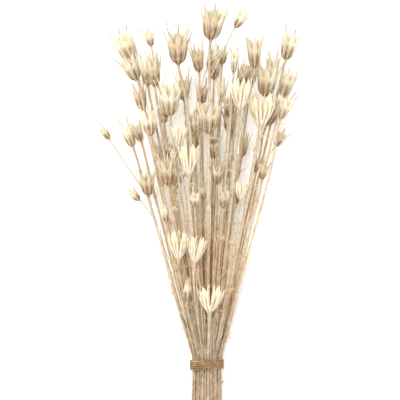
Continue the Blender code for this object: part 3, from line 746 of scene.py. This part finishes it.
def seed_pod(pod, base, axis, neck_r):
    """A pod's wall drawn up from its neck, follicle by follicle above the cup, with its beaks."""
    bm = fresh_shape()
    form = FORMS[pod.form]
    width = pod.width * MM
    body = pod.body * MM
    count = pod.count
    sector = 2.0 * math.pi / count
    start = (POD_TURN * pod.x) % (2.0 * math.pi)
    side, up = across(axis)
    spot = bm.verts.layers.float["turn"]
    tone = bm.verts.layers.float_color["tone"]
    pod_hue = chance.uniform(*form.hue)
    hues = [pod_hue + chance.uniform(-HUE_VARIES, HUE_VARIES) for _ in range(count)]
    hues = [min(1.0, max(0.0, hue)) for hue in hues]
    tips = count * len(form.points)
    leans = [form.loose * chance.uniform(-LEAN_VARIES, LEAN_VARIES) for _ in range(tips)]
    drifts = [form.loose * chance.uniform(-DRIFT_VARIES, DRIFT_VARIES) for _ in range(tips)]
    rises = [chance.uniform(-form.ragged, form.ragged) for _ in range(tips)]

    def place(vert, angle, radius, height, furrow, hue):
        """Puts a vertex in its place on the pod, and colours it."""
        outward = math.cos(angle) * side + math.sin(angle) * up
        vert.co = base + axis * (float(height) * body) + outward * (float(radius) * width)
        vert[tone] = (0.7 * max(0.0, height), furrow, hue, 0.0)

    def profile(height, furrow):
        """How far the wall is from the axis, from its keels (0) to its furrows (1)."""
        keel = eased(*zip(*form.keels), height)
        groove = eased(*zip(*form.grooves), height)
        ridge = RIDGE_PROUD * min(1.0, 4.0 * max(0.0, height)) * math.cos(3.0 * math.pi * furrow)
        return groove + (keel - groove) * (1.0 - furrow**KEEL_POWER) + ridge

    def off_middle(vert, middle):
        """How far round a vertex is from the middle of a free tip, in follicles."""
        return (vert[spot] - middle + 0.5 * count) % count - 0.5 * count

    segments = COLUMNS * count
    ring = bmesh.ops.create_circle(bm, cap_ends=True, segments=segments, radius=1.0)["verts"]
    edges = list(ring[0].link_faces[0].edges)
    for corner, vert in enumerate(ring):
        vert[spot] = corner / COLUMNS
        place(vert, start + vert[spot] * sector, neck_r / width, -NECK_LENGTH / body, 0.0, hues[0])
    for height in form.cup:
        ring, edges = lengthened(bm, edges)
        for vert in ring:
            index = round(vert[spot])
            furrow = 2.0 * abs(vert[spot] - index)
            dent = Vector((CRUMPLE_SCALE[0] * vert[spot], CRUMPLE_SCALE[1] * height, pod.x))
            radius = profile(height, furrow) + CRUMPLED * height * noise.noise(dent)
            place(vert, start + vert[spot] * sector, radius, height, furrow, hues[index % count])
    fused = form.cup[-1]
    top = form.free[-1][0]
    reach = 0.5 / len(form.points)
    for tip in range(tips):
        index, half = divmod(tip, len(form.points))
        off = form.points[half]
        middle = index + off
        rim = {vert for edge in edges for vert in edge.verts}
        own = {vert for vert in rim if abs(off_middle(vert, middle)) < reach + SAME_PLACE}
        lobe = [edge for edge in edges if own.issuperset(edge.verts)]
        for height, share in form.free:
            ring, lobe = lengthened(bm, lobe)
            free = (height - fused) / (top - fused)
            for vert in ring:
                offset = off_middle(vert, middle)
                edge_share = min(1.0, abs(offset) / reach)
                turned = middle + offset * share + 0.5 * free**2 * drifts[tip]
                radius = profile(height, min(1.0, 2.0 * abs(off + offset * share)))
                radius += form.fold * edge_share**2 * free + leans[tip] * free**1.5
                lifted = height + (rises[tip] - EDGE_LOWERED * edge_share**2) * free
                place(vert, start + turned * sector, radius, lifted, edge_share, hues[index])
        varied = 1.0 + BEAK_VARIES * math.cos(BEAK_RHYTHM * middle + pod.y)
        begin = top + rises[tip]
        end = max(begin + BEAK_LEAST, 1.0 + varied * pod.beak / pod.body)
        inner_r = profile(top, 2.0 * abs(off)) + leans[tip]
        for share in BEAK_ROWS:
            ring, lobe = lengthened(bm, lobe)
            height = begin + share * (end - begin)
            radius = inner_r + share * (form.tip - inner_r + BEAK_LEANS * leans[tip] * share)
            half_width = np.interp(share, (0.0, 1.0), BEAK_HALF_WIDTH)
            half_width /= form.loose**0.6 * radius * width * sector
            for vert in ring:
                offset = off_middle(vert, middle)
                turned = middle + half_width * offset / reach + drifts[tip] * (0.5 + share**2)
                ridge = 0.0 if abs(offset) > SAME_PLACE else BEAK_KEEL * share
                place(vert, start + turned * sector, radius, height + ridge, 0.0, hues[index])
    walls = list(bm.faces)
    bmesh.ops.recalc_face_normals(bm, faces=walls)
    cup = walls[1 : 1 + FACING_ROWS * segments]
    centre = base + 0.5 * body * axis
    facing = sum(wall.normal.dot(wall.calc_center_median() - centre) for wall in cup)
    if facing < 0.0:
        bmesh.ops.reverse_faces(bm, faces=walls)
    for index in range(count if form.fin else 0):
        peak, hollow = form.fin
        crest = peak + chance.uniform(-FIN_CREST_VARIES, FIN_CREST_VARIES)
        bent = chance.uniform(-FIN_BENDS, FIN_BENDS)
        columns, rows = FIN_GRID
        grid = bmesh.ops.create_grid(bm, x_segments=columns, y_segments=rows, size=1.0)["verts"]
        for vert in grid:
            along = 0.5 * (vert.co.x + 1.0)
            rise = 0.5 * (vert.co.y + 1.0)
            ridge = eased((0.0, FIN_CREST_AT, 1.0), (fused, crest, hollow), along)
            height = FIN_LOW + rise * (ridge - FIN_LOW)
            wall = profile(height, 1.0) - FIN_CLEAR / width
            turned = index + 0.5 + bent * rise**2 * (1.0 - along)
            radius = wall * (1.0 - along) + FIN_FROM_AXIS
            place(vert, start + turned * sector, radius, height, FIN_FURROW, pod_hue)
            vert[tone][3] = 1.0
    before = set(bm.verts)
    bmesh.ops.solidify(bm, geom=list(bm.faces), thickness=WALL)
    for vert in bm.verts:
        if vert not in before:
            vert[tone][3] = 1.0
        vert.co = kept_inside(vert.co, LEAST_CLEAR if vert in before else 0.0)
    for face in bm.faces:
        face.material_index = HUSK
    return bm


def pod_husk():
    """Pale follicles with fine nerves, painted shade in the furrows, a painted highlight on the keels,
    brown at the foot, and painted light inside for light through the thin walls.
    """
    look, group, (height, furrow, hue, inside) = fibre_material("pod_husk", 0.58, 0.35)
    tree = look.node_tree
    nerve_place = {"X": times(furrow, 12.0), "Y": times(height, 2.2), "Z": times(hue, 30.0)}
    nerve = speckled(tree, add(tree, "CombineXYZ", nerve_place).outputs[0], 1.0, 3.0)
    body = mixed(tree, ramped(height, 0.16, 0.54), linear(190, 168, 138), linear(246, 240, 219))
    lined = ramped(nerve, 0.45, 0.72, 0.0, 0.65)
    lined = times(lined, ramped(height, 0.62, 0.30, 0.45, 1.0))
    body = mixed(tree, lined, body, linear(172, 146, 114))
    body = mixed(tree, ramped(nerve, 0.42, 0.22, 0.0, 0.5), body, linear(248, 240, 218))
    stripe = times(ramped(furrow, 0.16, 0.34), ramped(furrow, 0.56, 0.38))
    stripe = times(stripe, ramped(height, 0.56, 0.28, 0.12, 0.68))
    body = mixed(tree, stripe, body, linear(150, 124, 95))
    # Painted shade deep in the furrows low on the pod; higher up the furrow edges turn pale like the
    # membranes.
    deep = mixed(tree, ramped(height, 0.30, 0.50), linear(98, 70, 46), linear(246, 234, 208))
    body = mixed(tree, ramped(furrow, 0.62, 0.94), body, deep)
    # Painted highlight along the keels.
    keel = mixed(tree, ramped(height, 0.36, 0.56), linear(246, 237, 216), linear(228, 213, 184))
    body = mixed(tree, ramped(furrow, 0.14, 0.0, 0.0, 0.8), body, keel)
    body = mixed(tree, ramped(height, 0.74, 0.86), body, linear(190, 176, 154))
    tint = mixed(tree, ramped(hue, 0.05, 0.5), linear(250, 235, 215), linear(255, 252, 247))
    body = mixed(tree, 1.0, body, tint, "MULTIPLY")
    # Open pods: painted shade towards the furrows and at the foot.
    pale = mixed(tree, ramped(furrow, 0.35, 0.9), linear(246, 238, 216), linear(222, 204, 170))
    pale = mixed(tree, ramped(height, 0.18, 0.02), pale, linear(204, 193, 172))
    body = mixed(tree, ramped(hue, 0.90, 0.98, 0.0, 0.7), body, pale)
    # Painted light inside: a bright cream lining stands in for light through the thin walls, darker deep
    # in the cup.
    lining = mixed(tree, ramped(height, 0.15, 0.56), linear(210, 178, 136), linear(255, 244, 216))
    color = mixed(tree, inside, body, lining)
    set_inputs(group, {"Color": color, "Streaks": 0.35, "Blotches": 0.35})
    return look


# The dried leaves
# Nigella leaves are cut into fine threads. Dried and bleached, they cling to the stems or curl
# away in hooks from the joints and from under the pods, and some have snapped off short.
# Lengths of threads are in mm here, and curls are in radians.
THREAD_SIDES = 3
THREAD_STEPS = 9
THREAD_THINS = 0.75
THREAD_R = (0.32 * MM, 0.60 * MM)
THREAD_LENGTH = (9, 26)
THREAD_CURLS = (0.6, 1.4, 2.6, 3.8)
THREAD_COUNTS = (2, 3, 4)
THREADED_SHARE = 0.85
CLING_R = (0.38 * MM, 0.80 * MM)
CLING_AWAY = (1.3, 1.2, 2.4)
CLING_WINDS = 1.6
CLING_SWAY = (0.8, 7.0)
STRIP_ROWS = (34, 30, 26, 18, 12, 9, 9)
STRIP_FIRST_ROWS = (4, 19)
STRIP_FEWEST_ROWS = 6
COLLAR_Y = (40, 300)
COLLAR_BELOW = 4 * MM
COLLAR_COUNTS = (3, 4, 6)
COLLAR_LENGTH = (0.35, 0.75)
COLLAR_CURLS = (1.2, 2.4, 3.6)
COLLAR_STEPS = 7
OPEN_POD_MORE = 2
TUFT_Y = (60, 270)
TUFT_SHARE = 0.42
TUFT_THREADS = 13
TUFT_R = 0.40 * MM
TUFT_HUE = (0.4, 1.0)
TUFT_SPREAD = 0.8
TUFT_LENGTH = (7, 17)
TUFT_CURL = (2.5, 5.5)
TUFT_STEPS = 8


def curling_thread(bm, start, heading, length, curl, thickness, steps=THREAD_STEPS, hue=None):
    """A loose thread that bends more and more towards its tip."""
    axis = heading.orthogonal()
    axis.rotate(Quaternion(heading, chance.uniform(0.0, 2.0 * math.pi)))
    path = [start]
    for step in range(steps):
        bend = curl * (step + 1) / sum(range(steps + 1))
        heading = Quaternion(axis, bend) @ heading
        path.append(kept_inside(path[-1] + heading * length / steps, 2 * thickness))
    radii = [thickness * (1.0 - THREAD_THINS * step / steps) for step in range(steps + 1)]
    drawn_rod(bm, path, radii, THREAD_SIDES, LEAF, chance.random() if hue is None else hue)


def clinging_thread(bm, path, first, last, thickness, side_turn):
    """A leaf strip that lies along its stem and comes free at its tip."""
    rows = path[first:last:2]
    near, further, free = CLING_AWAY
    sway, sways = CLING_SWAY
    line = []
    for step, point in enumerate(rows):
        share = step / (len(rows) - 1)
        away = (near + further * share + free * share**4) * MM
        angle = side_turn + CLING_WINDS * share + sway * math.sin(sways * share + side_turn)
        outward = Vector((math.cos(angle), 0.0, math.sin(angle)))
        line.append(kept_inside(point + away * outward, 2 * thickness))
    shares = np.linspace(0.0, 1.0, len(rows))
    radii = thickness * np.minimum(1.0, 0.3 + 3.5 * shares) * (1.0 - 0.6 * shares**2)
    drawn_rod(bm, line, radii, THREAD_SIDES, LEAF, chance.random())


def collar(bm, pod, path):
    """The short curled threads that are left of the leaves under a pod."""
    neck = path[-1]
    along = (neck - path[-4]).normalized()
    side, up = across(along)
    for _ in range(chance.choice(COLLAR_COUNTS) + (OPEN_POD_MORE if pod.form == "open" else 0)):
        angle = chance.uniform(0.0, 2.0 * math.pi)
        heading = math.cos(angle) * side + math.sin(angle) * up + chance.uniform(-0.2, 0.5) * along
        length = chance.uniform(*COLLAR_LENGTH) * pod.width * MM
        begin = neck - chance.uniform(1.0, 2.0) * COLLAR_BELOW * along
        curl = chance.choice(COLLAR_CURLS)
        curling_thread(bm, begin, heading.normalized(), length, curl, THREAD_R[0], COLLAR_STEPS)


def tuft(bm, point):
    """A curled-up knot of short threads, which is what is left of a whole leaf."""
    lie = Vector((chance.uniform(-1, 1), chance.uniform(-0.3, 1.0), chance.uniform(0, 1))).normalized()
    hue = chance.uniform(*TUFT_HUE)
    for _ in range(TUFT_THREADS):
        heading = lie + TUFT_SPREAD * Vector([chance.uniform(-1, 1) for _ in range(3)])
        length = chance.uniform(*TUFT_LENGTH) * MM
        curl = chance.uniform(*TUFT_CURL)
        curling_thread(bm, point, heading.normalized(), length, curl, TUFT_R, TUFT_STEPS, hue)


def leaves(bm, path, joints):
    """Threads at a stem's joints, and strips along it."""
    for point, y in joints:
        if TUFT_Y[0] < y / MM < TUFT_Y[1] and chance.random() < TUFT_SHARE:
            tuft(bm, point)
        elif chance.random() < THREADED_SHARE:
            for _ in range(chance.choice(THREAD_COUNTS)):
                heading = Vector((chance.uniform(-1, 1), chance.uniform(0.2, 1.6), chance.uniform(-1, 1)))
                curl = chance.choice(THREAD_CURLS)
                length = chance.uniform(*THREAD_LENGTH) * MM
                curling_thread(bm, point, heading.normalized(), length, curl, chance.uniform(*THREAD_R))
    lowest, highest = STRIP_FIRST_ROWS
    for reach in STRIP_ROWS:
        first = chance.randrange(lowest, max(highest, len(path) - reach))
        last = min(len(path) - 2, first + chance.randrange(reach // 2, reach + 1))
        if last - first > STRIP_FEWEST_ROWS:
            thickness = chance.uniform(*CLING_R)
            clinging_thread(bm, path, first, last, thickness, chance.uniform(0, 2 * math.pi))


def leaf_thread():
    """Straw to cream, paler at the tips, with painted shade low on the stems."""
    look, group, (along, _, hue, _) = fibre_material("leaf_thread", 0.7, 0.3)
    tree = look.node_tree
    color = mixed(tree, ramped(hue, 0.15, 0.7), linear(226, 192, 140), linear(252, 243, 214))
    color = mixed(tree, ramped(along, 0.5, 1.0, 0.0, 0.5), color, linear(246, 238, 214))
    color = mixed(tree, browned(tree), color, linear(226, 188, 140))
    # Painted shade near the tie and the cut ends.
    color = mixed(tree, low_down(tree), color, linear(204, 178, 144))
    set_inputs(group, {"Color": color, "Streaks": 0.3, "Blotches": 0.4})
    return look


# The grown stems
# Each cut stem is one piece with its pod, its leaf threads and the side twig that it may carry. Two
# stems are first lowered, so that their pods lie on the surface like their solids in the frame.
STEM_LOOKS = (stem_skin(), pod_husk(), leaf_thread())
STEM_SHARP_DEGREES = 42


def finished(bm, name, looks, sharp_degrees):
    """The shape as an object with its materials, riding on the bunch."""
    mesh = bpy.data.meshes.new(name)
    bm.to_mesh(mesh)
    bm.free()
    for look in looks:
        mesh.materials.append(look)
    mesh.shade_smooth()
    mesh.set_sharp_from_angle(angle=math.radians(sharp_degrees))
    piece = bpy.data.objects.new(name, mesh)
    scene.collection.objects.link(piece)
    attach(piece, "root")
    return piece


def pod_base(strand, path):
    """Where a pod begins, a little way on from the end of its stem."""
    return path[-1] + strand.axis * NECK_LENGTH


def grown(strand, number, bm):
    """Adds a stem or twig to a shape, with its pod and its leaf threads."""
    path, radii, joints = stem_path(strand, number)
    drawn_rod(bm, path, radii, STEM_SIDES, SKIN, chance.random(), RIB_DEPTH)
    if strand.parent is None:
        bm.faces.ensure_lookup_table()
        cut = bm.faces[0]
        bmesh.ops.inset_individual(bm, faces=[cut], thickness=PITH_INSET, depth=-PITH_SUNK)
        for vert in cut.verts:
            vert[bm.verts.layers.float_color["tone"]] = (1.0, 1.0, 1.0, 1.0)
    threads = fresh_shape()
    leaves(threads, path, joints)
    if COLLAR_Y[0] < strand.pod.y < COLLAR_Y[1]:
        collar(threads, strand.pod, path)
    join(bm, threads)
    neck_r = FLARE[-1] * strand.neck_r
    join(bm, seed_pod(strand.pod, pod_base(strand, path), strand.axis, neck_r))


def set_down(number, strand):
    """Lowers a stem until its own pod lies on the surface, and leaves the order of chance as it was."""
    state = chance.getstate()
    path = stem_path(strand, number)[0]
    trial = seed_pod(strand.pod, pod_base(strand, path), strand.axis, NECK_R)
    chance.setstate(state)
    lowest = min(vert.co.z for vert in trial.verts)
    trial.free()
    along = (strand.levels - strand.start_y) / (strand.base_y - strand.start_y)
    strand.points[:, 1] -= lowest * along**2


for number in RESTING:
    set_down(number, strands[number])
stem_shapes = {}
for number, strand in enumerate(strands):
    owner = number if strand.parent is None else strand.parent
    if owner not in stem_shapes:
        stem_shapes[owner] = fresh_shape()
    grown(strand, number, stem_shapes[owner])
for owner, shape in stem_shapes.items():
    name = f"stem_{owner + 1:02d}"
    stem = finished(shape, f"grown_{name}", STEM_LOOKS, STEM_SHARP_DEGREES)
    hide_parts(name)

# The tie
# One length of three-ply natural twine is wound five turns round the stems, pressed flat where the
# bunch lies on it, and knotted in front with two short frayed ends.
TWINE_TURNS = 5
TURN_STEPS = 76
TWINE_SPACING = 2.28 * MM
TWINE_TIGHT = 1.3 * MM
PLY_COUNT = 3
PLY_DEPTH = 0.15
PLY_PITCH = 6.4 * MM
TWINE_SIDES = 12
TWINE_SHARP_DEGREES = 60
KNOT_STEPS = 48
KNOT_SCALE = 1.05 * MM
KNOT_ABOVE = 0.3 * MM
KNOT_TWINE_SHARE = 0.85
# One of the two ends, as points in mm from the front of the tie.
KNOT_TAIL = ((0.5, -1, 2.9), (3.5, -5, 3.1), (5.5, -9, 1.9), (6.8, -14, 1.6))
TAIL_ROWS = 16
TAIL_TWINE_SHARE = 0.9
FRAY_COUNT = 9
FRAY_LENGTH = (2, 4.5)
FRAY_CURL = 0.8
FRAY_R = 0.14 * MM
FRAY_STEPS = 4


def laid_twine(bm, path, radius):
    """Adds twine of three twisted plies along a path to a shape."""
    first = len(bm.verts)
    drawn_rod(bm, path, [radius] * len(path), TWINE_SIDES, 0, 0.5)
    turn = bm.verts.layers.float["turn"]
    tone = bm.verts.layers.float_color["tone"]
    bm.verts.ensure_lookup_table()
    run = 0.0
    for row, point in enumerate(path):
        if row:
            run += (point - path[row - 1]).length
        for vert in bm.verts[first + row * TWINE_SIDES : first + (row + 1) * TWINE_SIDES]:
            angle = vert[turn] + 2.0 * math.pi * run / PLY_PITCH
            ply = math.cos(PLY_COUNT * angle)
            vert.co = point + (vert.co - point) * (1.0 - PLY_DEPTH + PLY_DEPTH * ply)
            vert[tone] = (run / PLY_PITCH % 1.0, 0.5 + 0.5 * ply, 0.5, 0.0)


def wound_path():
    """The five turns, each a twine's width further along the stems."""
    path = []
    for step in range(TWINE_TURNS * TURN_STEPS + 1):
        angle = 2.0 * math.pi * step / TURN_STEPS + 0.5 * math.pi
        along = (step / TURN_STEPS - 0.5 * TWINE_TURNS) * TWINE_SPACING
        right, up = math.cos(angle), math.sin(angle)
        outward = Vector((BUNDLE_HALF_DEPTH * right, 0.0, BUNDLE_HALF_WIDTH * up)).normalized()
        x = (BUNDLE_HALF_WIDTH - TWINE_TIGHT) * right
        path.append(Vector((x, along, TIE_HEIGHT + BUNDLE_HALF_DEPTH * up)) + TWINE_R * outward)
    return path


def knot_path():
    """A small trefoil on the front of the tie."""
    middle = Vector((0.0, 0.0, TIE_HEIGHT + BUNDLE_HALF_DEPTH + 2.0 * TWINE_R + KNOT_ABOVE))
    path = []
    for step in range(KNOT_STEPS + 1):
        turn = 2.0 * math.pi * step / KNOT_STEPS
        x = math.sin(turn) + 2.0 * math.sin(2 * turn)
        y = math.cos(turn) - 2.0 * math.cos(2 * turn)
        path.append(middle + KNOT_SCALE * Vector((x, y, -math.sin(3 * turn))))
    return path


def tail_path(side):
    """One end of the twine, from the knot down its side of the tie."""
    path = []
    for share in np.linspace(0.0, 1.0, TAIL_ROWS):
        x, y, z = (np.interp(share * 3, range(4), places) for places in zip(*KNOT_TAIL))
        path.append(Vector((side * x, y, z)) * MM + Vector((0, 0, TIE_HEIGHT + BUNDLE_HALF_DEPTH)))
    return path


def twine_fibre():
    """Natural brown twine, with painted shade between its plies."""
    look, group, (_, crest, _, _) = fibre_material("twine_fibre", 0.85, 0.8)
    # Painted shade in the creases between the plies.
    color = mixed(look.node_tree, crest, linear(92, 64, 38), linear(204, 168, 116))
    set_inputs(group, {"Color": color, "Streaks": 0.7, "Blotches": 0.5})
    return look


cord = fresh_shape()
laid_twine(cord, wound_path(), TWINE_R)
laid_twine(cord, knot_path(), KNOT_TWINE_SHARE * TWINE_R)
for side in (-1, 1):
    tail = tail_path(side)
    laid_twine(cord, tail, TAIL_TWINE_SHARE * TWINE_R)
    for _ in range(FRAY_COUNT):
        spread = Vector((side * 0.4 + chance.uniform(-0.5, 0.5), -1.0, chance.uniform(-0.4, 0.5)))
        length = chance.uniform(*FRAY_LENGTH) * MM
        curling_thread(cord, tail[-1], spread.normalized(), length, FRAY_CURL, FRAY_R, FRAY_STEPS)
for face in cord.faces:
    face.material_index = 0
for vert in cord.verts:
    vert.co.z = max(vert.co.z, 0.0)
twine = finished(cord, "wound_twine", (twine_fibre(),), TWINE_SHARP_DEGREES)
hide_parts("tie")

# The surface below, the light and the camera
# A plain white table, lit by a wide soft lamp from above on the left and by even white light all
# round. The camera looks straight down on the bunch.
TABLE_HALF_SIZE = 3.0
TABLE_GREYS = (0.93, 0.96)
TABLE_GRAIN = 30.0
TABLE_ROUGHNESS = 0.9
TABLE_GLOW = 0.22
WHITE = (1.0, 1.0, 1.0, 1.0)
WORLD_LIGHT = 1.05
LAMP_PLACE = (-0.50, 0.70, 2.4)
LAMP_AIM = (0.0, 0.2, 0.0)
LAMP_SIZE = 1.1
LAMP_POWER = 34.0
CAMERA_PLACE = (-0.008, 0.191, 5.0)
CAMERA_ABOVE_BUNCH = 4.94
SEEN_HALF_WIDTH = 0.230

plane = bmesh.new()
bmesh.ops.create_grid(plane, x_segments=1, y_segments=1, size=TABLE_HALF_SIZE)
table = bpy.data.meshes.new("table")
plane.to_mesh(table)
plane.free()
white = bpy.data.materials.new("white_table")
white.use_nodes = True
tree = white.node_tree
place = add(tree, "TexCoord").outputs["Object"]
dark, bright = ((grey, grey, grey, 1.0) for grey in TABLE_GREYS)
tinted = mixed(tree, speckled(tree, place, TABLE_GRAIN, 4.0), dark, bright)
shader = tree.nodes["Principled BSDF"]
set_inputs(shader, {"Base Color": tinted, "Roughness": TABLE_ROUGHNESS})
set_inputs(shader, {"Emission Color": WHITE, "Emission Strength": TABLE_GLOW})
table.materials.append(white)
floor = bpy.data.objects.new("table", table)
scene.collection.objects.link(floor)

world = bpy.data.worlds.new("studio")
world.use_nodes = True
set_inputs(world.node_tree.nodes["Background"], {"Color": WHITE, "Strength": WORLD_LIGHT})
scene.world = world

light = bpy.data.lights.new("key_lamp", "AREA")
light.shape = "DISK"
light.size = LAMP_SIZE
light.energy = LAMP_POWER
lamp = bpy.data.objects.new("key_lamp", light)
lamp.location = LAMP_PLACE
lamp.rotation_euler = (Vector(LAMP_AIM) - Vector(LAMP_PLACE)).to_track_quat("-Z", "Y").to_euler()
scene.collection.objects.link(lamp)

camera = bpy.data.objects.new("camera", bpy.data.cameras.new("camera"))
camera.location = CAMERA_PLACE
camera.data.sensor_width = 36
camera.data.angle = 2.0 * math.atan(SEEN_HALF_WIDTH / CAMERA_ABOVE_BUNCH)
camera.data.clip_end = 20
scene.collection.objects.link(camera)
scene.camera = camera
scene.view_settings.view_transform = "Standard"
